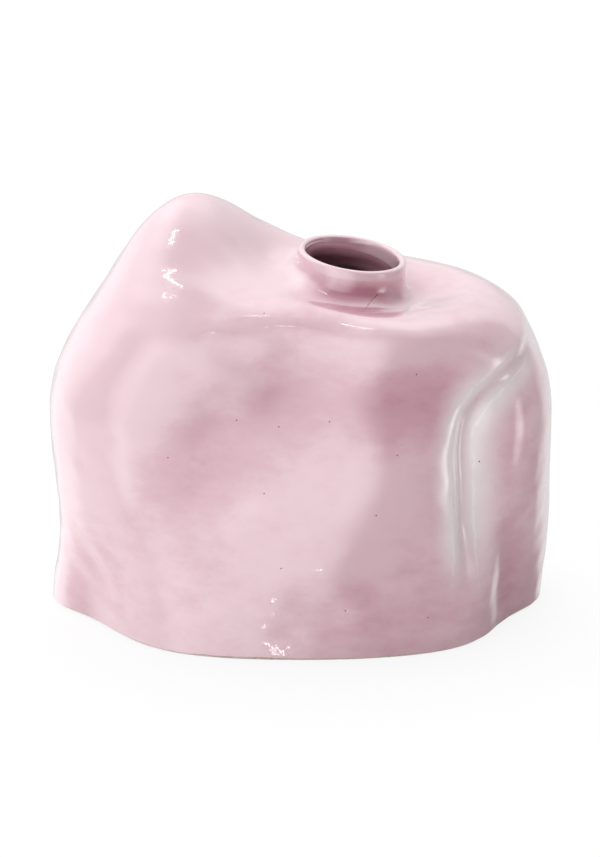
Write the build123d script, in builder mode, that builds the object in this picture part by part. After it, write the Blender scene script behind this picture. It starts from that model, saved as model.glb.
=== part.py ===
from build123d import *
import math
import os

import numpy as np

# A hand-built pillow vase: pressed clay slabs on a flat base, a leaning neck collar, coils inside the seams,
# and a coat of glaze on each face. Millimetres, +Z up, front towards -Y, origin under the middle of the foot.

# Driving dimensions of the form
width = 248.0
depth = 156.0
crown_height = 165.0
neck_height = 16.7
neck_right = 20.9
neck_forward = 2.0
neck_lean = 4.5
rim_tilt = 8.0
rim_pitch = 3.5
rim_radius = 26.9
collar_taper = 1.7
collar_flare = 4.0
collar_waist = 0.9
lip_round = 1.8

# Thicknesses of the clay and of the two coats
wall = 6.0
neck_wall = 2.4
floor = 8.0
glaze = 0.8
liner = 0.6
bare_foot = 1.5

# The coil in the angle of floor and wall, and where the two slabs meet
coil_thick = 4.0
coil_height = 16.0
right_seam_turn = -45.0
left_seam_turn = 178.0

# How far a cutting shape runs past what it cuts
overrun = 2.0

half_width = width / 2
half_depth = depth / 2
half_size = np.array([half_width, half_depth, crown_height])
collar_radius = rim_radius + collar_taper
neck_ring = collar_radius + collar_flare

# Squareness of the foot outline, and of the shoulder on the long and the short side
plan_power = 2.3
shoulder_power = 3.1
shoulder_swing = 1.0

# Pushes of the hand: centre, reach and push, as shares of half width, half depth and crown height
push_shares = {
    "peak": ((-0.39, 0.31, 1.0), (0.255, 0.54, 0.42), (0, 0, 0.215)),
    "left shoulder": ((-0.63, 0.23, 0.91), (0.21, 0.64, 0.36), (0, 0, 0.112)),
    "left wall": ((-0.98, 0, 0.74), (0.32, 0.9, 0.23), (-0.05, 0, 0)),
    "left waist": ((-0.98, 0, 0.3), (0.24, 0.5, 0.16), (0.02, 0, 0)),
    "left swell": ((-0.73, -0.67, 0.76), (0.34, 0.51, 0.26), (-0.016, -0.085, 0)),
    "back ridge": ((0.12, 0.62, 1.0), (0.5, 0.385, 0.36), (0, 0.05, 0.067)),
    "ridge to neck": ((-0.11, 0.44, 1.03), (0.16, 0.31, 0.36), (0, 0, 0.03)),
    "saddle": ((-0.16, 0.12, 1.03), (0.11, 0.22, 0.36), (0, 0, -0.016)),
    "neck left": ((-0.03, -0.24, 1.0), (0.16, 0.28, 0.3), (0, 0, 0.03)),
    "neck right": ((0.42, -0.1, 1.0), (0.22, 0.36, 0.3), (0, 0, -0.034)),
    "right shoulder": ((0.95, 0.06, 0.78), (0.32, 0.77, 0.27), (0.04, 0, 0)),
    "right crown": ((0.7, 0.13, 0.97), (0.27, 0.59, 0.3), (0, 0, 0.02)),
    "right wall": ((1.0, 0.1, 0.25), (0.3, 0.6, 0.25), (0.022, 0, 0)),
    "right corner": ((0.88, -0.52, 0.55), (0.24, 0.45, 0.4), (0, -0.11, 0)),
    "right front": ((0.66, -0.8, 0.7), (0.22, 0.5, 0.2), (0, 0.035, 0)),
    "front brow": ((0.36, -0.72, 0.92), (0.28, 0.385, 0.13), (0.016, -0.1, 0.018)),
    "hollow low": ((-0.42, -0.87, 0.56), (0.3, 0.64, 0.18), (0, 0.105, 0)),
    "hollow mid": ((-0.2, -0.9, 0.68), (0.26, 0.64, 0.15), (0, 0.04, 0)),
    "hollow high": ((0.04, -0.92, 0.76), (0.27, 0.64, 0.14), (0, 0.045, 0)),
    "hollow right": ((0.48, -0.92, 0.79), (0.25, 0.64, 0.14), (0, 0.085, 0)),
    "belly": ((0.12, -1.03, 0.4), (0.44, 0.77, 0.206), (0, -0.085, 0)),
    "belly right": ((0.36, -0.97, 0.56), (0.22, 0.64, 0.15), (0, -0.045, 0)),
    "low crease": ((0.84, -0.5, 0.2), (0.06, 0.25, 0.14), (-0.02, 0.035, 0)),
    "left foot": ((-0.98, 0.05, 0), (0.145, 0.33, 0.133), (-0.03, 0, 0)),
    "left front foot": ((-0.84, -0.54, 0), (0.27, 0.385, 0.36), (0.024, 0.19, 0)),
    "right front foot": ((0.9, -0.49, 0), (0.21, 0.41, 0.33), (-0.048, 0.17, 0)),
}
# Below this share of the crown height a push no longer lifts the wall, so that the foot stays flat
foot_share = 0.15

# The crease on the right front: a step in the wall that climbs, then bends to the right shoulder. Part of the step
# comes back at once, as the lip of a groove, and the rest dies out round the right side
crease_turn = -39.5
crease_bend = 30.0
crease_power = 2.8
crease_start_share = 0.575
crease_climb_share = 0.315
crease_arm_share = 0.77
crease_soft_share = 0.020
crease_fade_share = 0.30
crease_lip_share = 0.09
crease_lip_part = 0.6
crease_low_share = 0.14
crease_low_fade_share = 0.27
crease_high_share = 0.95
crease_high_fade_share = 0.20
crease_depth_share = 0.072

# The collar's side: shares of its height and how the flare dies out
flare_height_share = 0.45
flare_power = 2.2

# The rings that the form is lofted through: crowded together around the crease, and made of two arcs that
# meet away from the seams, so that no face of the form closes on itself
ring_count = 112
ring_crowd = 0.5
ring_crowd_turn = -30.0
arc_count = ring_count // 2
arc_start_share = 0.27
body_level_shares = (
    0, 0.02, 0.032, 0.044, 0.057, 0.070, 0.085, 0.105, 0.13, 0.17, 0.21, 0.25, 0.29, 0.325, 0.36, 0.395, 0.43,
    0.465, 0.50, 0.535, 0.57, 0.605, 0.64, 0.68, 0.72, 0.77, 0.825, 0.88, 0.94, 1.0,
)
neck_level_shares = (0.08, 0.18, 0.30, 0.45, 0.65, 0.85, 1.0)
lip_turns = (30.0, 60.0, 85.0)
wall_fade_shares = (0.90, 1.30)
nudge = 0.002

# How the coil in the angle of floor and wall curves out, and the share of its height where its edge is cut
coil_power = 1.5
coil_share = 0.75


def ease(share):
    """Smooth step from 0 to 1."""
    share = np.clip(share, 0, 1)
    return share * share * (3 - 2 * share)


def blank(turn, climb):
    """The unpressed pillow: the foot outline drawn in to the neck ring as it climbs a rounded shoulder."""
    across, along = np.cos(turn), np.sin(turn)
    outline = (np.abs(across) / half_width) ** plan_power + (np.abs(along) / half_depth) ** plan_power
    outline = outline ** (-1 / plan_power)
    power = shoulder_power + shoulder_swing * np.cos(2 * turn)
    angle = climb * math.pi / 2
    arm = (np.cos(angle) ** power + np.sin(angle) ** power) ** (-1 / power)
    drawn = 1 - arm * np.cos(angle)
    x = outline * across * (1 - drawn) + (neck_right + neck_ring * across) * drawn
    y = outline * along * (1 - drawn) + (neck_ring * along - neck_forward) * drawn
    return np.stack([x, y, crown_height * arm * np.sin(angle)], -1)


def crease(turn, height):
    """The step of the crease: none on its left, full just right of it, then fading round the right side."""
    degrees = np.degrees((turn + math.pi) % (2 * math.pi) - math.pi)
    share = height / crown_height
    bend = np.clip((share - crease_start_share) / crease_climb_share, 0, 1.15)
    edge = crease_turn + crease_bend * bend**crease_power
    slope = crease_bend * crease_power * bend ** (crease_power - 1) / (crease_climb_share * crown_height)
    arm = math.radians(1) * crease_arm_share * half_width
    side = arm * (degrees - edge) / np.sqrt(1 + (arm * slope) ** 2)
    step = 1 / (1 + np.exp(-np.clip(side / (crease_soft_share * half_width), -30, 30)))
    right = np.clip(side, 0, None) / half_width
    fade = (1 - crease_lip_part) * np.exp(-((right / crease_fade_share) ** 2))
    fade = fade + crease_lip_part * np.exp(-((right / crease_lip_share) ** 2))
    low = ease((share - crease_low_share) / crease_low_fade_share)
    high = ease((crease_high_share - share) / crease_high_fade_share)
    inward = np.stack([-np.cos(turn) / half_width, -np.sin(turn) / half_depth, 0 * turn], -1)
    inward = inward / np.linalg.norm(inward, axis=-1, keepdims=True)
    return (step * fade * low * high)[..., None] * inward * crease_depth_share * half_width


def body(turn, climb):
    """The pressed form, from the foot at climb 0 to the neck ring at climb 1."""
    rest = blank(turn, climb)
    lift = ease(rest[..., 2] / (foot_share * crown_height))
    pressed = rest + crease(turn, rest[..., 2])
    for centre, reach, push in push_shares.values():
        away = (rest / half_size - np.array(centre)) / np.array(reach)
        weight = np.exp(-(away**2).sum(-1))[..., None]
        shift = weight * np.array(push) * half_size
        shift[..., 2] *= lift
        pressed = pressed + shift
    return pressed


def rim(turn, radius, height):
    """A ring about the leaning neck, its height measured from the rim's plane, which dips right and forward."""
    tilt, pitch = math.radians(rim_tilt), math.radians(rim_pitch)
    across, along = radius * np.cos(turn), radius * np.sin(turn)
    x = neck_right + neck_lean + across * math.cos(tilt) + along * math.sin(pitch) * math.sin(tilt)
    y = along * math.cos(pitch) - neck_forward
    z = crown_height + neck_height - across * math.sin(tilt) + along * math.sin(pitch) * math.cos(tilt)
    axis = (math.sin(tilt) * math.cos(pitch), -math.sin(pitch), math.cos(tilt) * math.cos(pitch))
    return np.stack([x + height * axis[0], y + height * axis[1], z + height * axis[2]], -1)


def collar(turn, rise):
    """The collar's side, from the crown at rise 0 to the rim at rise 1, flared at its foot."""
    foot = body(turn, np.ones_like(turn))
    top = rim(turn, rim_radius, 0)
    flare = collar_flare * np.clip(1 - rise / flare_height_share, 0, 1) ** flare_power
    taper = collar_taper * (1 - rise) - collar_waist * np.sin(math.pi * rise) ** 2
    inward = 1 - (flare + taper) / (neck_ring - rim_radius)
    return foot + (top - foot) * np.stack([inward, inward, rise], -1)


def surface(turn, level):
    """The whole outer face: levels 0 to 1 are the body, 1 to 2 the collar."""
    below = body(turn, np.clip(level, 0, 1))
    above = collar(turn, np.clip(level - 1, 0, 1))
    return np.where((level <= 1)[..., None], below, above)


def cove(height):
    """How far the coil stands off the wall: full at the floor, curving out to nothing at the coil's height."""
    share = np.clip(1 - (height - floor) / coil_height, 0, 1)
    return coil_thick * share**coil_power


def rings(gap, neck_gap, coiled):
    """Points of the outer face drawn in along its normal, by gap on the body and by neck_gap on the collar."""
    steps = 2 * math.pi * (np.arange(ring_count) / ring_count + arc_start_share)
    turns = steps - ring_crowd * np.sin(steps - math.radians(ring_crowd_turn))
    levels = np.concatenate([body_level_shares, 1 + np.array(neck_level_shares)])
    level, turn = np.meshgrid(levels, turns, indexing="ij")
    face = surface(turn, level)
    along = surface(turn + nudge, level) - surface(turn - nudge, level)
    up = surface(turn, np.clip(level + nudge, 0, 2)) - surface(turn, np.clip(level - nudge, 0, 2))
    normal = np.cross(along, up)
    normal[..., 2] *= ease(level / foot_share)
    normal = normal / np.linalg.norm(normal, axis=-1, keepdims=True)
    low, high = wall_fade_shares
    inset = gap + (neck_gap - gap) * ease((level - low) / (high - low))
    if coiled:
        inset = inset + cove(face[..., 2])
    return turns, face - inset[..., None] * normal


def ring(row):
    """A closed ring through a row of points, as two arcs that share their ends and the slopes there."""
    knots = [step / arc_count for step in range(arc_count + 1)]
    slopes = (np.roll(row, -1, axis=0) - np.roll(row, 1, axis=0)) * arc_count / 2
    arcs = []
    for start in (0, arc_count):
        steps = [step % ring_count for step in range(start, start + arc_count + 1)]
        points = [Vector(*row[step]) for step in steps]
        tangents = [Vector(*slopes[steps[0]]), Vector(*slopes[steps[-1]])]
        arcs.append(Edge.make_spline(points, tangents=tangents, parameters=knots, scale=False))
    return Wire(arcs)


def form(gap, neck_gap, rounded=False, coiled=False):
    """A solid of the vase's form, drawn in from the outer face: with a rounded lip, or open past the rim."""
    turns, rows = rings(gap, neck_gap, coiled)
    foot = rows[0] * (1, 1, 0) - (0, 0, overrun)
    top = [rim(turns, rim_radius - neck_gap, 0)]
    if rounded:
        lip = lip_round - gap
        for lip_turn in lip_turns:
            angle = math.radians(lip_turn)
            top.append(rim(turns, rim_radius - lip_round + lip * math.cos(angle), lip * math.sin(angle)))
    else:
        top.append(rim(turns, rim_radius - neck_gap, lip_round + overrun))
    return Solid.make_loft([ring(row) for row in [foot, *rows[:-1], *top]])


# Nested forms: the glaze's face, the clay's face, the hollow in the clay, the same with the coil in it,
# and the liner's face
glaze_form = form(0, 0, rounded=True)
clay_form = form(glaze, glaze, rounded=True)
hollow_form = form(glaze + wall, glaze + neck_wall)
coiled_form = form(glaze + wall, glaze + neck_wall, coiled=True)
liner_form = form(glaze + wall + liner, glaze + neck_wall + liner, coiled=True)

floor_plane = Plane.XY.offset(floor)
coil_plane = floor_plane.offset(coil_height * coil_share)
neck_axis = (neck_right, -neck_forward)
rim_plane = Plane(
    origin=(neck_right + neck_lean, -neck_forward, crown_height + neck_height),
    x_dir=(math.cos(math.radians(rim_tilt)), 0, -math.sin(math.radians(rim_tilt))),
    z_dir=(
        math.sin(math.radians(rim_tilt)) * math.cos(math.radians(rim_pitch)),
        -math.sin(math.radians(rim_pitch)),
        math.cos(math.radians(rim_tilt)) * math.cos(math.radians(rim_pitch)),
    ),
)
lip_plane = rim_plane.offset(lip_round)
reach = width + depth
tall = crown_height * 2

# The floor slab, with the whole foot outline
with BuildPart() as base_slab:
    add(clay_form)
    split(bisect_by=Plane.XY, keep=Keep.TOP)
    split(bisect_by=floor_plane, keep=Keep.BOTTOM)
base_slab.part.label = "base_slab"

# The pressed wall and crown with the collar, before the pieces are told apart
with BuildPart() as shell:
    add(clay_form)
    add(hollow_form, mode=Mode.SUBTRACT)
    split(bisect_by=floor_plane, keep=Keep.TOP)


def neck_cone(radius):
    """A leaning cone about the neck, from under the crown to above the lip."""
    with BuildPart() as cone:
        with BuildSketch(Plane.XY.offset(crown_height - wall * 2 - collar_flare)):
            with Locations(neck_axis):
                Circle(radius)
        with BuildSketch(lip_plane.offset(overrun)):
            Circle(radius)
        loft()
    return cone.part


# The collar, and the coil round its foot that joins it to the crown
collar_cone = neck_cone(collar_radius)
coil_cone = neck_cone(neck_ring)

with BuildPart() as neck_collar:
    add(shell.part)
    add(collar_cone, mode=Mode.INTERSECT)
neck_collar.part.label = "neck_collar"

with BuildPart() as neck_seam_coil:
    add(shell.part)
    add(coil_cone, mode=Mode.INTERSECT)
    add(collar_cone, mode=Mode.SUBTRACT)
neck_seam_coil.part.label = "neck_seam_coil"

# The space in front of the two seams
with BuildPart() as front_zone:
    with BuildSketch():
        with BuildLine():
            Polyline(
                neck_axis,
                Vector(neck_axis) + Vector(reach, 0).rotate(Axis.Z, right_seam_turn),
                (neck_right, -reach * 2),
                Vector(neck_axis) + Vector(reach, 0).rotate(Axis.Z, left_seam_turn),
                close=True,
            )
        make_face()
    extrude(amount=tall)

with BuildPart() as front_slab:
    add(shell.part)
    add(coil_cone, mode=Mode.SUBTRACT)
    add(front_zone.part, mode=Mode.INTERSECT)
front_slab.part.label = "front_slab"

with BuildPart() as back_slab:
    add(shell.part)
    add(coil_cone, mode=Mode.SUBTRACT)
    add(front_zone.part, mode=Mode.SUBTRACT)
back_slab.part.label = "back_slab"

# The coil in the angle of floor and wall, curved to a thin upper edge
with BuildPart() as coil_hollow:
    add(coiled_form)
    split(bisect_by=coil_plane, keep=Keep.BOTTOM)

with BuildPart() as base_seam_coil:
    add(hollow_form)
    split(bisect_by=coil_plane, keep=Keep.BOTTOM)
    add(coil_hollow.part, mode=Mode.SUBTRACT)
    split(bisect_by=floor_plane, keep=Keep.TOP)
base_seam_coil.part.label = "base_seam_coil"

# The brushed coat, from just above the foot, up the collar and over the lip
with BuildPart() as outer_glaze:
    add(glaze_form)
    split(bisect_by=Plane.XY.offset(bare_foot), keep=Keep.TOP)
    add(clay_form, mode=Mode.SUBTRACT)
    add(hollow_form, mode=Mode.SUBTRACT)
outer_glaze.part.label = "outer_glaze"

# The poured coat over floor, coil and wall, up to the lip
with BuildPart() as free_hollow:
    add(liner_form)
    split(bisect_by=floor_plane.offset(liner), keep=Keep.TOP)

with BuildPart() as above_lip:
    with BuildSketch(lip_plane):
        Circle(rim_radius)
    extrude(amount=overrun * 2)

with BuildPart() as liner_glaze:
    add(coiled_form)
    split(bisect_by=floor_plane, keep=Keep.TOP)
    add(above_lip.part, mode=Mode.SUBTRACT)
    add(free_hollow.part, mode=Mode.SUBTRACT)
liner_glaze.part.label = "liner_glaze"

os.makedirs("parts", exist_ok=True)
export_step(base_slab.part, "parts/base_slab.step")
export_step(front_slab.part, "parts/front_slab.step")
export_step(back_slab.part, "parts/back_slab.step")
export_step(neck_collar.part, "parts/neck_collar.step")
export_step(neck_seam_coil.part, "parts/neck_seam_coil.step")
export_step(base_seam_coil.part, "parts/base_seam_coil.step")
export_step(outer_glaze.part, "parts/outer_glaze.step")
export_step(liner_glaze.part, "parts/liner_glaze.step")
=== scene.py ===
import math

import bpy
import numpy as np
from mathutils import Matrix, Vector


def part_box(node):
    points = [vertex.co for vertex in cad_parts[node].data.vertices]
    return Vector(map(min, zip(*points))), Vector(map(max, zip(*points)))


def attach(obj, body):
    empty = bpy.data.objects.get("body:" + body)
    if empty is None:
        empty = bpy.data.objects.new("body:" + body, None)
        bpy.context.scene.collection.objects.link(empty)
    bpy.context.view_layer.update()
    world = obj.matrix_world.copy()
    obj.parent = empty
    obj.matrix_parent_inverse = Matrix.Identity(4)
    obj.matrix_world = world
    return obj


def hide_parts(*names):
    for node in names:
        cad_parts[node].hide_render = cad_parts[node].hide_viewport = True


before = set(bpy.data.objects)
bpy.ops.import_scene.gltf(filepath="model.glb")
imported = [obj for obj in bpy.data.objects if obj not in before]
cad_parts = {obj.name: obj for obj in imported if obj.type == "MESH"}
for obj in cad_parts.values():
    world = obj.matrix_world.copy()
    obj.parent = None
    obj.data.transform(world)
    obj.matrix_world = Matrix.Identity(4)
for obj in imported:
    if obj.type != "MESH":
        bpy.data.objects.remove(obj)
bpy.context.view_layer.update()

# The pressed walls, the collar and the coils in the seams: buff earthenware, biscuit fired, and wholly
# covered by the two coats of glaze. They keep their solids and get the clay's dry, grogged finish.
clay_buff = (0.66, 0.55, 0.46, 1)
clay_pale = (0.78, 0.68, 0.59, 1)
clay_speck = (0.24, 0.17, 0.13, 1)
cloud_scale = 90
grog_scale = 420.0
grog_share = 0.6
sand_scale = 1600
sand_depth = 0.0003


def place(tree, kind, inputs=None, **settings):
    """Adds a node of that kind to a tree, and sets or links its inputs by name or number."""
    made = tree.nodes.new(kind)
    for name, value in settings.items():
        setattr(made, name, value)
    for name, value in (inputs or {}).items():
        if isinstance(value, bpy.types.NodeSocket):
            tree.links.new(value, made.inputs[name])
        else:
            made.inputs[name].default_value = value
    return made


def ramp(tree, value, low, high):
    """A mask that climbs smoothly from 0 at low to 1 at high as value does."""
    inputs = {"Value": value, "From Min": low, "From Max": high}
    return place(tree, "ShaderNodeMapRange", inputs, interpolation_type="SMOOTHSTEP").outputs["Result"]


def mixed(tree, share, first, second):
    """Two colours mixed by a share, each a colour or a socket."""
    inputs = {"Factor": share, 6: first, 7: second}
    return place(tree, "ShaderNodeMix", inputs, data_type="RGBA").outputs[2]


def maths(tree, operation, first, second=0.0):
    """One step of arithmetic on two numbers or sockets."""
    return place(tree, "ShaderNodeMath", {0: first, 1: second}, operation=operation).outputs[0]


def noise(tree, where, scale, detail=3.0, roughness=0.55):
    """Cloudy noise from 0 to 1, its size given as repeats to the metre."""
    inputs = {"Vector": where, "Scale": scale, "Detail": detail, "Roughness": roughness}
    return place(tree, "ShaderNodeTexNoise", inputs).outputs["Fac"]


def clay_material():
    """Buff clay: two tones in soft clouds, sparse dark specks of grog, and a dry sandy grain."""
    material = bpy.data.materials.new("bare_clay")
    material.use_nodes = True
    tree = material.node_tree
    shader = tree.nodes["Principled BSDF"]
    where = place(tree, "ShaderNodeTexCoord").outputs["Object"]
    tone = mixed(tree, ramp(tree, noise(tree, where, cloud_scale), 0.35, 0.65), clay_buff, clay_pale)
    cells = place(tree, "ShaderNodeTexVoronoi", {"Vector": where, "Scale": grog_scale})
    speck = ramp(tree, cells.outputs["Distance"], 0.24, 0.10)
    colour = mixed(tree, maths(tree, "MULTIPLY", speck, grog_share), tone, clay_speck)
    sand = {"Height": noise(tree, where, sand_scale), "Strength": 0.5, "Distance": sand_depth}
    grain = place(tree, "ShaderNodeBump", sand)
    tree.links.new(colour, shader.inputs["Base Color"])
    tree.links.new(grain.outputs["Normal"], shader.inputs["Normal"])
    shader.inputs["Roughness"].default_value = 0.86
    shader.inputs["Specular IOR Level"].default_value = 0.3
    return material


clay = clay_material()
for name in ("front_slab", "back_slab", "neck_collar", "neck_seam_coil", "base_seam_coil"):
    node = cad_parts[name]
    node.data.materials.clear()
    node.data.materials.append(clay)

# The floor slab: a flat slab of the same clay, its bare edge showing as a thin buff line under the glaze.
# Its arris is rubbed round and its underside is a little sandy, as a slab dried on a board is.
half_width = 0.124
half_depth = 0.078
crown_height = 0.165
half_size = np.array([half_width, half_depth, crown_height])
neck_right = 0.0209
neck_forward = 0.002
neck_height = 0.0167
neck_lean = 0.0045
rim_tilt = math.radians(8)
rim_pitch = math.radians(3.5)
rim_radius = 0.0269
collar_taper = 0.0017
collar_flare = 0.004
collar_waist = 0.0009
neck_ring = rim_radius + collar_taper + collar_flare
glaze = 0.0008
floor_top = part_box("base_slab")[1].z
arris = 0.0009
slab_columns = 300
underside_shares = (0.06, 0.2, 0.35, 0.5, 0.65, 0.78, 0.88, 0.95)
top_shares = (0.98, 0.8, 0.5, 0.2, 0.06)
plan_power = 2.3
shoulder_power = 3.1
shoulder_swing = 1.0
foot_share = 0.15

# Pushes of the hand: centre, reach and push, as shares of half width, half depth and crown height
push_shares = {
    "peak": ((-0.39, 0.31, 1.0), (0.255, 0.54, 0.42), (0, 0, 0.215)),
    "left shoulder": ((-0.63, 0.23, 0.91), (0.21, 0.64, 0.36), (0, 0, 0.112)),
    "left wall": ((-0.98, 0, 0.74), (0.32, 0.9, 0.23), (-0.05, 0, 0)),
    "left waist": ((-0.98, 0, 0.3), (0.24, 0.5, 0.16), (0.02, 0, 0)),
    "left swell": ((-0.73, -0.67, 0.76), (0.34, 0.51, 0.26), (-0.016, -0.085, 0)),
    "back ridge": ((0.12, 0.62, 1.0), (0.5, 0.385, 0.36), (0, 0.05, 0.067)),
    "ridge to neck": ((-0.11, 0.44, 1.03), (0.16, 0.31, 0.36), (0, 0, 0.03)),
    "saddle": ((-0.16, 0.12, 1.03), (0.11, 0.22, 0.36), (0, 0, -0.016)),
    "neck left": ((-0.03, -0.24, 1.0), (0.16, 0.28, 0.3), (0, 0, 0.03)),
    "neck right": ((0.42, -0.1, 1.0), (0.22, 0.36, 0.3), (0, 0, -0.034)),
    "right shoulder": ((0.95, 0.06, 0.78), (0.32, 0.77, 0.27), (0.04, 0, 0)),
    "right crown": ((0.7, 0.13, 0.97), (0.27, 0.59, 0.3), (0, 0, 0.02)),
    "right wall": ((1.0, 0.1, 0.25), (0.3, 0.6, 0.25), (0.022, 0, 0)),
    "right corner": ((0.88, -0.52, 0.55), (0.24, 0.45, 0.4), (0, -0.11, 0)),
    "right front": ((0.66, -0.8, 0.7), (0.22, 0.5, 0.2), (0, 0.035, 0)),
    "front brow": ((0.36, -0.72, 0.92), (0.28, 0.385, 0.13), (0.016, -0.1, 0.018)),
    "hollow low": ((-0.42, -0.87, 0.56), (0.3, 0.64, 0.18), (0, 0.105, 0)),
    "hollow mid": ((-0.2, -0.9, 0.68), (0.26, 0.64, 0.15), (0, 0.04, 0)),
    "hollow high": ((0.04, -0.92, 0.76), (0.27, 0.64, 0.14), (0, 0.045, 0)),
    "hollow right": ((0.48, -0.92, 0.79), (0.25, 0.64, 0.14), (0, 0.085, 0)),
    "belly": ((0.12, -1.03, 0.4), (0.44, 0.77, 0.206), (0, -0.085, 0)),
    "belly right": ((0.36, -0.97, 0.56), (0.22, 0.64, 0.15), (0, -0.045, 0)),
    "low crease": ((0.84, -0.5, 0.2), (0.06, 0.25, 0.14), (-0.02, 0.035, 0)),
    "left foot": ((-0.98, 0.05, 0), (0.145, 0.33, 0.133), (-0.03, 0, 0)),
    "left front foot": ((-0.84, -0.54, 0), (0.27, 0.385, 0.36), (0.024, 0.19, 0)),
    "right front foot": ((0.9, -0.49, 0), (0.21, 0.41, 0.33), (-0.048, 0.17, 0)),
}

# The crease on the right front, its turns in degrees and its sizes as shares of half width or crown height
crease_turn = -39.5
crease_bend = 30.0
crease_power = 2.8
crease_start_share = 0.575
crease_climb_share = 0.315
crease_arm_share = 0.77
crease_soft_share = 0.020
crease_fade_share = 0.30
crease_lip_share = 0.09
crease_lip_part = 0.6
crease_low_share = 0.14
crease_low_fade_share = 0.27
crease_high_share = 0.95
crease_high_fade_share = 0.20
crease_depth_share = 0.072


def ease(share):
    """Smooth step from 0 to 1."""
    share = np.clip(share, 0, 1)
    return share * share * (3 - 2 * share)


def blank(turn, climb):
    """The unpressed pillow: a squarish oval foot drawn in to the neck ring along a superellipse shoulder."""
    across, along = np.cos(turn), np.sin(turn)
    outline = (np.abs(across) / half_width) ** plan_power + (np.abs(along) / half_depth) ** plan_power
    outline = outline ** (-1 / plan_power)
    power = shoulder_power + shoulder_swing * np.cos(2 * turn)
    angle = climb * math.pi / 2
    arm = (np.cos(angle) ** power + np.sin(angle) ** power) ** (-1 / power)
    drawn = 1 - arm * np.cos(angle)
    x = outline * across * (1 - drawn) + (neck_right + neck_ring * across) * drawn
    y = outline * along * (1 - drawn) + (neck_ring * along - neck_forward) * drawn
    return np.stack([x, y, crown_height * arm * np.sin(angle)], -1)


def crease_line(turn, height):
    """How far right of the crease's line a point lies, and how strong the crease is at its height."""
    degrees = np.degrees((turn + math.pi) % (2 * math.pi) - math.pi)
    share = height / crown_height
    bend = np.clip((share - crease_start_share) / crease_climb_share, 0, 1.15)
    edge = crease_turn + crease_bend * bend**crease_power
    slope = crease_bend * crease_power * bend ** (crease_power - 1) / (crease_climb_share * crown_height)
    arm = math.radians(1) * crease_arm_share * half_width
    side = arm * (degrees - edge) / np.sqrt(1 + (arm * slope) ** 2)
    low = ease((share - crease_low_share) / crease_low_fade_share)
    high = ease((crease_high_share - share) / crease_high_fade_share)
    return side, low * high


def crease(turn, height):
    """A step inwards across a line that climbs and bends to the right: part comes back at once, as a lip."""
    side, strength = crease_line(turn, height)
    step = 1 / (1 + np.exp(-np.clip(side / (crease_soft_share * half_width), -30, 30)))
    right = np.clip(side, 0, None) / half_width
    fade = (1 - crease_lip_part) * np.exp(-((right / crease_fade_share) ** 2))
    fade = fade + crease_lip_part * np.exp(-((right / crease_lip_share) ** 2))
    inward = np.stack([-np.cos(turn) / half_width, -np.sin(turn) / half_depth, 0 * turn], -1)
    inward = inward / np.linalg.norm(inward, axis=-1, keepdims=True)
    return (step * fade * strength)[..., None] * inward * crease_depth_share * half_width


def body(turn, climb):
    """The pillow with the crease and every push added, each push fading out as a bell round its centre."""
    rest = blank(turn, climb)
    lift = ease(rest[..., 2] / (foot_share * crown_height))
    pressed = rest + crease(turn, rest[..., 2])
    for centre, reach, push in push_shares.values():
        away = (rest / half_size - np.array(centre)) / np.array(reach)
        weight = np.exp(-(away**2).sum(-1))[..., None]
        shift = weight * np.array(push) * half_size
        shift[..., 2] *= lift
        pressed = pressed + shift
    return pressed


def climb_to(turn, height):
    """The climb at which the pillow's side reaches a height near the foot."""
    share = height / crown_height
    power = shoulder_power + shoulder_swing * np.cos(2 * turn)
    return np.arctan2(share, (1 - share**power) ** (1 / power)) * 2 / math.pi


def outward(points):
    """Unit normals of a grid of points whose columns close on themselves, from its own slopes."""
    along = np.roll(points, -1, axis=1) - np.roll(points, 1, axis=1)
    up = np.gradient(points, axis=0)
    normal = np.cross(along, up)
    return normal / np.maximum(np.linalg.norm(normal, axis=-1, keepdims=True), 1e-12)


def turns_around(columns, crowd=0.45, crowd_turn=math.radians(-30)):
    """Angles all round, crowded together at the crease."""
    steps = 2 * math.pi * np.arange(columns) / columns
    return steps - crowd * np.sin(steps - crowd_turn)


def ring_mesh(name, rows, closed, material, attributes=None):
    """A mesh of quads on a grid of rows, closed around; its ends meet, or each ends in a pole."""
    count, columns = rows.shape[:2]
    points = rows.reshape(-1, 3)
    row, column = np.meshgrid(np.arange(count if closed else count - 1), np.arange(columns), indexing="ij")
    after, beside = (row + 1) % count, (column + 1) % columns
    corners = [row * columns + column, row * columns + beside]
    corners += [after * columns + beside, after * columns + column]
    faces = np.stack(corners, -1).reshape(-1, 4).tolist()
    if not closed:
        poles = np.stack([rows[0].mean(0), rows[-1].mean(0)])
        first, last = len(points), len(points) + 1
        points = np.concatenate([points, poles])
        step = np.arange(columns)
        beside = (step + 1) % columns
        faces += np.stack([beside, step, np.full(columns, first)], -1).tolist()
        top = (count - 1) * columns
        faces += np.stack([top + step, top + beside, np.full(columns, last)], -1).tolist()
    mesh = bpy.data.meshes.new(name)
    mesh.from_pydata(points, [], faces)
    mesh.polygons.foreach_set("use_smooth", np.ones(len(mesh.polygons), bool))
    for title, values in (attributes or {}).items():
        layer = mesh.attributes.new(title, "FLOAT", "POINT")
        layer.data.foreach_set("value", np.ascontiguousarray(values, np.float32).ravel())
    mesh.materials.append(material)
    mesh.update()
    piece = bpy.data.objects.new(name, mesh)
    bpy.context.scene.collection.objects.link(piece)
    return piece


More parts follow.
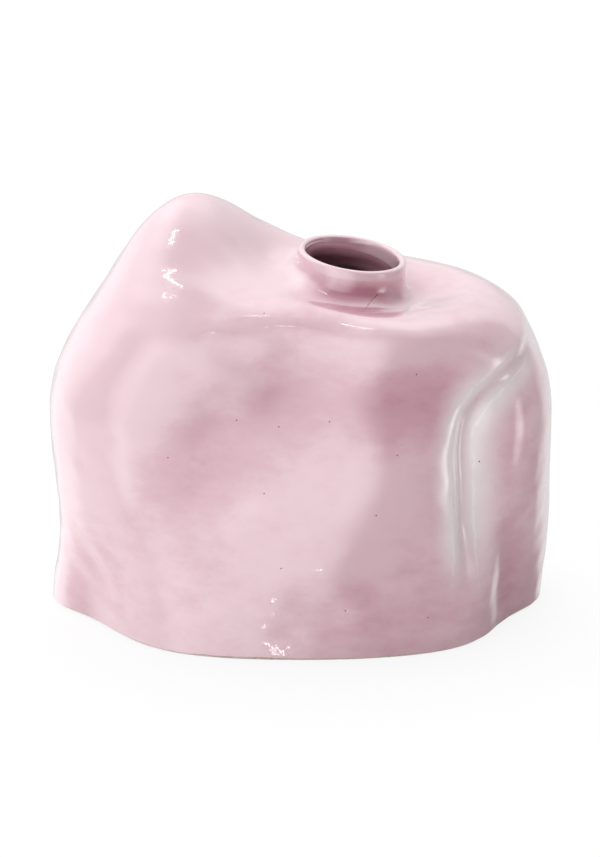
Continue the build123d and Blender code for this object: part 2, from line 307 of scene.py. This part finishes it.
def foot_slab_rows():
    """Rows from the middle of the underside out, round the rubbed arris, up the side and in over the top."""
    turn = turns_around(slab_columns)
    normal = outward(np.stack([body(turn, climb_to(turn, high)) for high in (0.003, 0.004, 0.005)]))[1]
    normal[..., 2] = 0
    edge = body(turn, climb_to(turn, arris)) - glaze * normal
    middle = edge.mean(0) * (1, 1, 0)
    rows = []
    for share in underside_shares:
        row = middle + (edge - middle) * share
        row[:, 2] = 0
        rows.append(row)
    for angle in np.radians((0, 20, 40, 60, 80)):
        row = edge + normal * arris * (math.sin(angle) - 1)
        row[:, 2] = arris * (1 - math.cos(angle))
        rows.append(row)
    for height in (0.0012, 0.0018, 0.0025, 0.004, 0.006, floor_top):
        row = body(turn, climb_to(turn, height)) - glaze * normal
        row[:, 2] = height
        rows.append(row)
    for share in top_shares:
        row = middle + (edge - middle) * share
        row[:, 2] = floor_top
        rows.append(row)
    return np.stack(rows)


foot_slab = ring_mesh("foot_slab", foot_slab_rows(), False, clay)
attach(foot_slab, "root")
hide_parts("base_slab")

# The brushed coat: glossy pink glaze from a ragged edge just above the foot, up the collar and over the lip.
# It is pale where the form swells and deeper in the presses and round the collar's foot, partly as the glaze
# thins and pools and partly as painted sheen on the swells and painted shade in the hollows; and it is
# pinholed.
glaze_pale = (0.82, 0.56, 0.63, 1)
glaze_mid = (0.70, 0.40, 0.47, 1)
glaze_deep = (0.52, 0.21, 0.28, 1)
# Painted highlight tones: the pale halo and the white line along the crease's edges
highlight_halo_tone = (0.93, 0.85, 0.87, 1)
highlight_line_white = (0.95, 0.91, 0.92, 1)
pinhole_dark = (0.10, 0.03, 0.04, 1)
coat_columns = 360
body_rows = 150
collar_rows = 24
flare_height_share = 0.45
flare_power = 2.2
lip_round = 0.0018
lip_width = 0.0038
lap_depth = 0.006
lap_rise = 0.5
# The lip is pale where its glaze thins, and the bore's right wall is paler still as painted light; the
# bore's back left is deepened as painted shade
lip_thin_and_lit = -0.016
mouth_painted_shade = 0.018
mouth_shade_turn = math.radians(150)
mouth_shade_reach = 0.25
mouth_shade_soft = 0.9
lip_fade_rows = 8
lip_crest_rows = 11
lap_rises = (0.95, 0.85, 0.75, 0.65, 0.55, 0.45)
fill_rows = 7
fill_rounds = 40
pool_rounds = 40
lap_proud = 0.0005
coat_spare = 0.00026

# Where the colour is deepened or paled: glaze pooled at the collar's front foot with painted shade there
# too, a painted lit patch on the collar's left, and painted shade under the brow and on the right panel:
# centre, reach and amount in metres
pooling_and_painted_light_spots = {
    "collar front": ((0.024, -0.030, 0.170), (0.024, 0.012, 0.007), 0.030),
    "collar left": ((-0.006, -0.010, 0.178), (0.012, 0.02, 0.010), -0.014),
    "under the brow": ((0.045, -0.070, 0.135), (0.032, 0.03, 0.020), 0.006),
    "right panel": ((0.108, -0.045, 0.100), (0.022, 0.04, 0.045), 0.014),
}
bare_edge = 0.0015
ragged_height = 0.00018

# The coat's unevenness: length and height in metres, the number of waves and the seed
long_ripple = (0.045, 0.00020, 12, 5)
fine_ripple = (0.018, 0.00011, 14, 6)

# How much each thing deepens the glaze's colour, partly pooled glaze and partly painted shade, and the
# depths at which one tone goes over into the next
press_share = 52.0
pool_share = 420.0
cloud_share = 1.0
streak_share = 0.85
pale_to_mid = (-0.45, 0.40)
mid_to_deep = (0.3, 1.5)

# Painted highlights on the crease's two edges, standing in for reflections of the right strip lamp: place
# across it, half widths of band and line in metres, share of the band
fold_highlight_lines = {
    "left": (-0.004, 0.011, 0.0010, 0.88),
    "right": (0.009, 0.015, 0.0008, 0.85),
}
fold_highlight_wander = 0.004
highlight_line_share = 0.6

# Pinholes and the crack at the collar's foot, each place given right of the middle and up
pinhole_radius = 0.00036
pinhole_spots = (
    (-0.030, 0.118), (0.014, 0.118), (-0.010, 0.115), (-0.063, 0.099), (-0.017, 0.085), (0.046, 0.104),
    (0.048, 0.108), (0.036, 0.077), (0.022, 0.027), (0.062, 0.020), (-0.009, 0.050), (0.086, 0.095),
    (0.055, 0.140), (0.009, 0.1765), (-0.017, 0.165),
)
crack_ends = ((0.0312, 0.1655), (0.0369, 0.1693))


def rim(turn, radius, height):
    """A ring about the leaning neck: its plane dips right and forward, and height is measured from it."""
    across, along = radius * np.cos(turn), radius * np.sin(turn)
    cos_tilt, sin_tilt = math.cos(rim_tilt), math.sin(rim_tilt)
    cos_pitch, sin_pitch = math.cos(rim_pitch), math.sin(rim_pitch)
    x = neck_right + neck_lean + across * cos_tilt + along * sin_pitch * sin_tilt
    y = along * cos_pitch - neck_forward
    z = crown_height + neck_height - across * sin_tilt + along * sin_pitch * cos_tilt
    axis = (sin_tilt * cos_pitch, -sin_pitch, cos_tilt * cos_pitch)
    return np.stack([x + height * axis[0], y + height * axis[1], z + height * axis[2]], -1)


def collar(turn, rise):
    """The collar's side, from the crown at rise 0 to the rim at rise 1: flared below, a little waisted."""
    foot = body(turn, np.ones_like(turn))
    top = rim(turn, rim_radius, 0)
    flare = collar_flare * np.clip(1 - rise / flare_height_share, 0, 1) ** flare_power
    taper = collar_taper * (1 - rise) - collar_waist * np.sin(math.pi * rise) ** 2
    inward = 1 - (flare + taper) / (neck_ring - rim_radius)
    return foot + (top - foot) * np.stack([inward, inward, rise], -1)


def ripple(points, length, height, waves, seed):
    """The hand's unevenness: plane waves of about that length, in seeded directions and phases, added up."""
    draw = np.random.default_rng(seed)
    ways = draw.normal(size=(waves, 3))
    ways = ways / np.linalg.norm(ways, axis=1, keepdims=True)
    pace = 2 * math.pi / (length * draw.uniform(0.7, 1.5, waves))
    phase = draw.uniform(0, 2 * math.pi, waves)
    return height * math.sqrt(2 / waves) * np.sin(points @ (ways * pace[:, None]).T + phase).sum(-1)


def coat_face(turn):
    """The coat's outer face, row on row: the body from the glaze's edge, then the collar up to the rim."""
    ragged = np.sin(3 * turn + 0.7) + np.sin(7 * turn + 2.1)
    ragged = ragged + 0.8 * np.sin(17 * turn) + 0.6 * np.sin(41 * turn + 1.3)
    start = climb_to(turn, bare_edge + ragged_height * ragged)
    shares = np.linspace(0, 1, body_rows)[:, None]
    climbs = start + (1 - start) * shares
    wide = np.broadcast_to(turn, climbs.shape)
    rises = np.linspace(0, 1, collar_rows + 1)[1:, None] + 0 * turn
    face = np.concatenate([body(wide, climbs), collar(np.broadcast_to(turn, rises.shape), rises)])
    rest = blank(wide, climbs)
    unpressed = np.concatenate([rest + crease(wide, rest[..., 2]), face[body_rows:]])
    return face, unpressed, crease_line(wide, rest[..., 2])


def fill_angle(face):
    """Glaze fills the angle at the collar's foot: rows near it move to the mean of their neighbours."""
    near = np.exp(-(((np.arange(len(face)) - body_rows) / fill_rows) ** 2))[1:-1, None, None]
    for _ in range(fill_rounds):
        face[1:-1] += near * 0.5 * ((face[:-2] + face[2:]) / 2 - face[1:-1])
    return face


def bore(turn, rise, inset):
    """A ring of the collar's inner face: its side drawn in level by that much."""
    return collar(turn, rise + 0 * turn) - inset * np.stack([np.cos(turn), np.sin(turn), 0 * turn], -1)


def coat_rows():
    """The closed coat: the outer face, the lip rolled over into the bore, and back down along the clay."""
    turn = turns_around(coat_columns)
    face, unpressed, (side, strength) = coat_face(turn)
    face = fill_angle(face)
    normal = outward(face)
    # How far each point is pressed in: the colour deepens with it, partly as pooled glaze and partly as
    # painted shade
    pressed = ((unpressed - face) * normal).sum(-1)
    pressed[body_rows:] = pressed[body_rows - 1] * np.linspace(1, 0, len(face) - body_rows)[:, None]
    # Painted shade and light in spots, one of them also a glaze pool
    for centre, reach, amount in pooling_and_painted_light_spots.values():
        pressed += amount * np.exp(-(((face - np.array(centre)) / np.array(reach)) ** 2).sum(-1))
    uneven = coat_spare + ripple(face, *long_ripple) + ripple(face, *fine_ripple)
    calm = np.ones(len(face))
    calm[body_rows + collar_rows // 2:] = np.linspace(1, 0, collar_rows - collar_rows // 2)
    calm[:6] = np.linspace(0, 1, 6)
    face = face + (uneven * calm[:, None])[..., None] * normal
    half_lip = lip_width / 2
    lip = [rim(turn, rim_radius - half_lip + half_lip * math.cos(a), lip_round * math.sin(a))
           for a in np.radians(np.linspace(12, 180, 15))]
    lap = [bore(turn, rise, lip_width + lap_proud * (rise - lap_rise)) for rise in lap_rises]
    clay_half = half_lip - glaze
    clay_lip = [rim(turn, rim_radius - half_lip + clay_half * math.cos(a), (lip_round - glaze) * math.sin(a))
                for a in np.radians(np.linspace(180, 0, 7))]
    back = (face - glaze * normal)[::-1][1::4]
    bead_normal = normal[0] * (1, 1, 0)
    bead = [face[0] - bead_normal * glaze / 2 * (1 + math.cos(a)) - np.array([0, 0, glaze / 2 * math.sin(a)])
            for a in np.radians((0, 40, 80, 120, 160))]
    rows = np.concatenate([face, np.stack(lip + lap + clay_lip), back, np.stack(bead)])
    depth = np.full(rows.shape[:2], lip_thin_and_lit)
    to_lip = ease((np.arange(len(face)) - len(face) + lip_fade_rows) / (lip_fade_rows - 1))[:, None]
    depth[: len(face)] = pressed + (lip_thin_and_lit - pressed) * to_lip
    # Painted shade in the mouth, deepest towards its back left, and painted light on its right wall
    shade = ease((np.cos(turn - mouth_shade_turn) + mouth_shade_reach) / mouth_shade_soft)
    past_crest = len(face) + lip_crest_rows
    lap_end = len(face) + len(lip) + len(lap)
    depth[past_crest:lap_end] = lip_thin_and_lit + (mouth_painted_shade - lip_thin_and_lit) * shade
    # Where the crease's painted highlights fall: the side of its line and its strength
    fold = np.ones(rows.shape[:2])
    fold[:body_rows] = side
    fold_highlight_mask = np.zeros(rows.shape[:2])
    fold_highlight_mask[:body_rows] = strength
    return rows, {"pressed": depth, "fold": fold, "fold_highlight_mask": fold_highlight_mask}


def pooling(rows):
    """How hollow each point is: how far its neighbours' mean stands out along the normal, in metres."""
    normal = outward(rows)
    spread = rows.copy()
    for _ in range(pool_rounds):
        beside = (np.roll(spread, 1, axis=1) + np.roll(spread, -1, axis=1)) / 2
        above = (np.roll(spread, 1, axis=0) + np.roll(spread, -1, axis=0)) / 2
        spread = (beside + above) / 2
    return ((spread - rows) * normal).sum(-1)


def pinhole_points(rows):
    """The coat's front points nearest to each pinhole, and to steps along the crack at the collar's foot."""
    points = rows.reshape(-1, 3)
    points = points[(outward(rows).reshape(-1, 3)[:, 1] < -0.1) & (points[:, 1] < 0)]
    crack = np.linspace(*crack_ends, 9)
    spots = np.concatenate([np.array(pinhole_spots), crack])
    away = np.hypot(*(points[None, :, (0, 2)] - spots[:, None]).transpose(2, 0, 1))
    found = points[away.argmin(axis=1)]
    found[:, (0, 2)] = spots
    return found


def fold_painted_highlights(tree, where, colour):
    """Painted highlights on the crease's two edges: along each a soft pale band, and in it a broken white
    line.
    """
    fold = place(tree, "ShaderNodeAttribute", attribute_name="fold").outputs["Fac"]
    fold_highlight_mask = place(tree, "ShaderNodeAttribute", attribute_name="fold_highlight_mask").outputs["Fac"]
    wander = maths(tree, "SUBTRACT", noise(tree, where, 110, 3.0), 0.5)
    side = maths(tree, "ADD", fold, maths(tree, "MULTIPLY", wander, fold_highlight_wander))
    broken = ramp(tree, noise(tree, where, 130, 2.0), 0.36, 0.52)
    for middle, band, line, share in fold_highlight_lines.values():
        off = maths(tree, "ABSOLUTE", maths(tree, "SUBTRACT", side, middle))
        halo = maths(tree, "MULTIPLY", ramp(tree, off, band, 0.0), fold_highlight_mask)
        colour = mixed(tree, maths(tree, "MULTIPLY", halo, share), colour, highlight_halo_tone)
        edge = maths(tree, "MULTIPLY", ramp(tree, off, line, line * 0.3), fold_highlight_mask)
        edge = maths(tree, "MULTIPLY", edge, broken)
        colour = mixed(tree, maths(tree, "MULTIPLY", edge, highlight_line_share), colour, highlight_line_white)
    return colour


def glaze_material(pinholes):
    """Pink glaze, paler on swells and deeper in presses and pools, partly glaze thickness and partly painted
    sheen and shade: brushed clouds, painted highlights on the crease, pinholes, high gloss.
    """
    material = bpy.data.materials.new("pink_glaze")
    material.use_nodes = True
    tree = material.node_tree
    shader = tree.nodes["Principled BSDF"]
    where = place(tree, "ShaderNodeTexCoord").outputs["Object"]
    pressed = place(tree, "ShaderNodeAttribute", attribute_name="pressed").outputs["Fac"]
    pool = place(tree, "ShaderNodeAttribute", attribute_name="pool").outputs["Fac"]
    stroke = {"Vector": where, "Scale": (0.6, 0.6, 1.1)}
    brushed = place(tree, "ShaderNodeMapping", stroke).outputs["Vector"]
    cloud = maths(tree, "SUBTRACT", noise(tree, where, 26, 2.0), 0.5)
    streak = maths(tree, "SUBTRACT", noise(tree, brushed, 150, 4.0, 0.65), 0.5)
    thick = maths(tree, "MULTIPLY", pressed, press_share)
    thick = maths(tree, "ADD", thick, maths(tree, "MULTIPLY", pool, pool_share))
    thick = maths(tree, "ADD", thick, maths(tree, "MULTIPLY", cloud, cloud_share))
    thick = maths(tree, "ADD", thick, maths(tree, "MULTIPLY", streak, streak_share))
    pale = mixed(tree, ramp(tree, thick, *pale_to_mid), glaze_pale, glaze_mid)
    colour = mixed(tree, ramp(tree, thick, *mid_to_deep), pale, glaze_deep)
    # Painted highlights along the crease's two edges
    colour = fold_painted_highlights(tree, where, colour)
    gap = 1.0
    for point in pinholes:
        inputs = {0: where, 1: tuple(float(part) for part in point)}
        spot = place(tree, "ShaderNodeVectorMath", inputs, operation="DISTANCE").outputs["Value"]
        gap = maths(tree, "MINIMUM", spot, gap)
    hole = ramp(tree, gap, pinhole_radius * 1.4, pinhole_radius * 0.6)
    colour = mixed(tree, hole, colour, pinhole_dark)
    dimple = ramp(tree, gap, pinhole_radius * 3, 0.0)
    peel = maths(tree, "SUBTRACT", noise(tree, where, 260, 2.0), maths(tree, "MULTIPLY", dimple, 2.0))
    skin = place(tree, "ShaderNodeBump", {"Height": peel, "Strength": 0.10, "Distance": 0.0004})
    tree.links.new(colour, shader.inputs["Base Color"])
    tree.links.new(skin.outputs["Normal"], shader.inputs["Normal"])
    tree.links.new(skin.outputs["Normal"], shader.inputs["Coat Normal"])
    uneven = {"Value": noise(tree, where, 60), "To Min": 0.07, "To Max": 0.16}
    gloss = place(tree, "ShaderNodeMapRange", uneven)
    tree.links.new(gloss.outputs["Result"], shader.inputs["Roughness"])
    shader.inputs["IOR"].default_value = 1.6
    shader.inputs["Coat Weight"].default_value = 1.0
    shader.inputs["Coat Roughness"].default_value = 0.03
    shader.inputs["Coat IOR"].default_value = 1.8
    return material


rows, marks = coat_rows()
marks["pool"] = pooling(rows)
pink = glaze_material(pinhole_points(rows))
outer_coat = ring_mesh("outer_coat", rows, True, pink, marks)
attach(outer_coat, "root")
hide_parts("outer_glaze")

# The poured coat: the same pink inside, over floor, coil and wall, running up the bore to lap under the lip.
# Poured glaze lies evenly, so its face is smooth and it is as thick as a finger leaves on biscuit clay.
liner = 0.0006
wall = 0.006
neck_wall = 0.0024
coil_thick = 0.004
coil_height = 0.016
coil_power = 1.5
liner_columns = 180
liner_body_rows = 70
liner_collar_rows = 15
liner_floor_shares = (0.05, 0.25, 0.5, 0.75, 0.92, 1.0)


def liner_rows():
    """The closed coat: from the floor's middle out, up over coil and wall into the bore, and back down."""
    turn = turns_around(liner_columns)
    body_shares = np.linspace(0, 1, liner_body_rows)
    collar_shares = np.linspace(0, 1, liner_collar_rows)[1:]
    climbs = body_shares[:, None] + 0 * turn
    rises = collar_shares[:, None] + 0 * turn
    face = np.concatenate([body(np.broadcast_to(turn, climbs.shape), climbs),
                           collar(np.broadcast_to(turn, rises.shape), rises)])
    level = np.concatenate([body_shares, 1 + collar_shares])[:, None]
    normal = outward(face)
    normal[..., 2] *= ease(level / foot_share)
    normal = normal / np.linalg.norm(normal, axis=-1, keepdims=True)
    inset = glaze + wall + (neck_wall - wall) * ease((level - 0.9) / 0.4)
    cove = coil_thick * np.clip(1 - (face[..., 2] - floor_top) / coil_height, 0, 1) ** coil_power
    sheets = []
    for deep in (liner, 0.0):
        sheet = face - (inset + cove + deep)[..., None] * normal
        low = floor_top + deep
        sheet = sheet[face[..., 2].min(axis=1) > low + 0.0005]
        foot = sheet[0]
        middle = foot.mean(0) * (1, 1, 0)
        floor_rows = np.stack([middle * (1 - share) + foot * share for share in liner_floor_shares])
        floor_rows[..., 2] = low
        top = rim(turn, rim_radius - glaze - neck_wall - deep + 0.0004, -lap_depth * 0.4)
        sheets.append(np.concatenate([floor_rows, sheet[:-3], top[None]]))
    return np.concatenate([sheets[0], sheets[1][::-1]])


rows = liner_rows()[:, ::-1]
# Painted shade: the whole inside takes the mouth's deep tone
painted_inside_shade = np.full(len(rows) * rows.shape[1] + 2, mouth_painted_shade)
inner_coat = ring_mesh("inner_coat", rows, False, pink, {"pressed": painted_inside_shade, "fold": painted_inside_shade + 1})
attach(inner_coat, "root")
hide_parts("liner_glaze")

# The floor: a wide pale sheet, white to the camera, that still takes the vase's soft shadow.
floor_reach = 12.0
floor_white = 0.80
floor_glow = 1.05
paper_tone = (0.85, 0.85, 0.85, 1)


def floor_material():
    """Matt white paper, lifted towards plain white where the camera sees it."""
    material = bpy.data.materials.new("floor_paper")
    material.use_nodes = True
    tree = material.node_tree
    tree.nodes.remove(tree.nodes["Principled BSDF"])
    paper = place(tree, "ShaderNodeBsdfDiffuse", {"Color": paper_tone})
    glow = place(tree, "ShaderNodeEmission", {"Color": (1, 1, 1, 1), "Strength": floor_glow})
    seen = place(tree, "ShaderNodeLightPath").outputs["Is Camera Ray"]
    share = maths(tree, "MULTIPLY", seen, floor_white)
    both = place(tree, "ShaderNodeMixShader", {0: share, 1: paper.outputs[0], 2: glow.outputs[0]})
    tree.links.new(both.outputs[0], tree.nodes["Material Output"].inputs["Surface"])
    return material


mesh = bpy.data.meshes.new("floor_sheet")
corners = [(-floor_reach, -floor_reach, 0), (floor_reach, -floor_reach, 0)]
corners += [(floor_reach, floor_reach, 0), (-floor_reach, floor_reach, 0)]
mesh.from_pydata(corners, [], [(0, 1, 2, 3)])
mesh.materials.append(floor_material())
floor_sheet = bpy.data.objects.new("floor_sheet", mesh)
bpy.context.scene.collection.objects.link(floor_sheet)
floor_sheet.visible_glossy = False

# The studio light: soft panels all round at a great distance, with a dim room between them.
# Each has an azimuth from the camera's side round to the right, an elevation, half sizes across and up,
# the softness of its edge, all in degrees, and a strength.
panels = {
    "left wall": (-95, 8, 50, 57, 20, 0.63),
    "left low": (-75, -38, 35, 18, 12, 0.40),
    "front left": (-22, 3, 24, 50, 16, 1.32),
    "behind left": (193, 12, 56, 62, 18, 0.60),
    "behind high": (150, 48, 45, 28, 14, 0.45),
    "overhead": (180, 78, 32, 28, 18, 0.64),
    "right strip": (66, 2, 8, 12, 7, 1.6),
    "right room": (105, -15, 40, 25, 15, 0.22),
    "overhead tube": (-100, 80.3, 0.35, 4.7, 0.25, 9.0),
    "brow lamp": (-15, 65, 0.5, 0.4, 0.25, 9.0),
    "front lamp": (-4, -32, 0.22, 1.2, 0.2, 9.0),
}
dim_room = 0.165


def studio_world():
    """The room's dim light plus each panel: a soft-edged rectangle on the plane square to its direction."""
    world = bpy.data.worlds.new("studio")
    world.use_nodes = True
    tree = world.node_tree
    tree.nodes.remove(tree.nodes["Background"])
    way = place(tree, "ShaderNodeTexCoord").outputs["Generated"]
    total = dim_room
    for azimuth, elevation, half_across, half_up, soft, strength in panels.values():
        a, e = math.radians(azimuth), math.radians(elevation)
        ahead = (math.sin(a) * math.cos(e), -math.cos(a) * math.cos(e), math.sin(e))
        aside = (math.cos(a), math.sin(a), 0)
        above = (-math.sin(a) * math.sin(e), math.cos(a) * math.sin(e), math.cos(e))
        dots = [place(tree, "ShaderNodeVectorMath", {0: way, 1: axis}, operation="DOT_PRODUCT")
                for axis in (ahead, aside, above)]
        dots = [dot.outputs["Value"] for dot in dots]
        front = maths(tree, "MAXIMUM", dots[0], 0.001)
        mask = ramp(tree, dots[0], 0.0, 0.05)
        for dot, half in ((dots[1], half_across), (dots[2], half_up)):
            off = maths(tree, "ABSOLUTE", maths(tree, "DIVIDE", dot, front))
            outer = math.tan(math.radians(min(half + soft, 85)))
            inner = math.tan(math.radians(max(half - soft, 0)))
            mask = maths(tree, "MULTIPLY", mask, ramp(tree, off, outer, inner))
        total = maths(tree, "ADD", total, maths(tree, "MULTIPLY", mask, strength))
    light = place(tree, "ShaderNodeBackground", {"Color": (1, 1, 1, 1), "Strength": total})
    white = place(tree, "ShaderNodeBackground", {"Color": (1, 1, 1, 1), "Strength": 1.0})
    seen = place(tree, "ShaderNodeLightPath").outputs["Is Camera Ray"]
    both = place(tree, "ShaderNodeMixShader", {0: seen, 1: light.outputs[0], 2: white.outputs[0]})
    tree.links.new(both.outputs[0], tree.nodes["World Output"].inputs["Surface"])
    return world


bpy.context.scene.world = studio_world()
bpy.context.scene.view_settings.view_transform = "Standard"

# The camera: as far off as such a picture is taken from, looking down at the photograph's angle.
camera_distance = 1.2
camera_elevation = math.radians(20)
camera_target = 0.0915
camera_lens = 100.41

lens = bpy.data.cameras.new("camera")
lens.lens = camera_lens
lens.sensor_width = 36.0
lens.clip_start = 0.05
camera = bpy.data.objects.new("camera", lens)
away = camera_distance * math.cos(camera_elevation)
camera.location = (0, -away, camera_target + camera_distance * math.sin(camera_elevation))
camera.rotation_euler = (math.pi / 2 - camera_elevation, 0, 0)
bpy.context.scene.collection.objects.link(camera)
bpy.context.scene.camera = camera
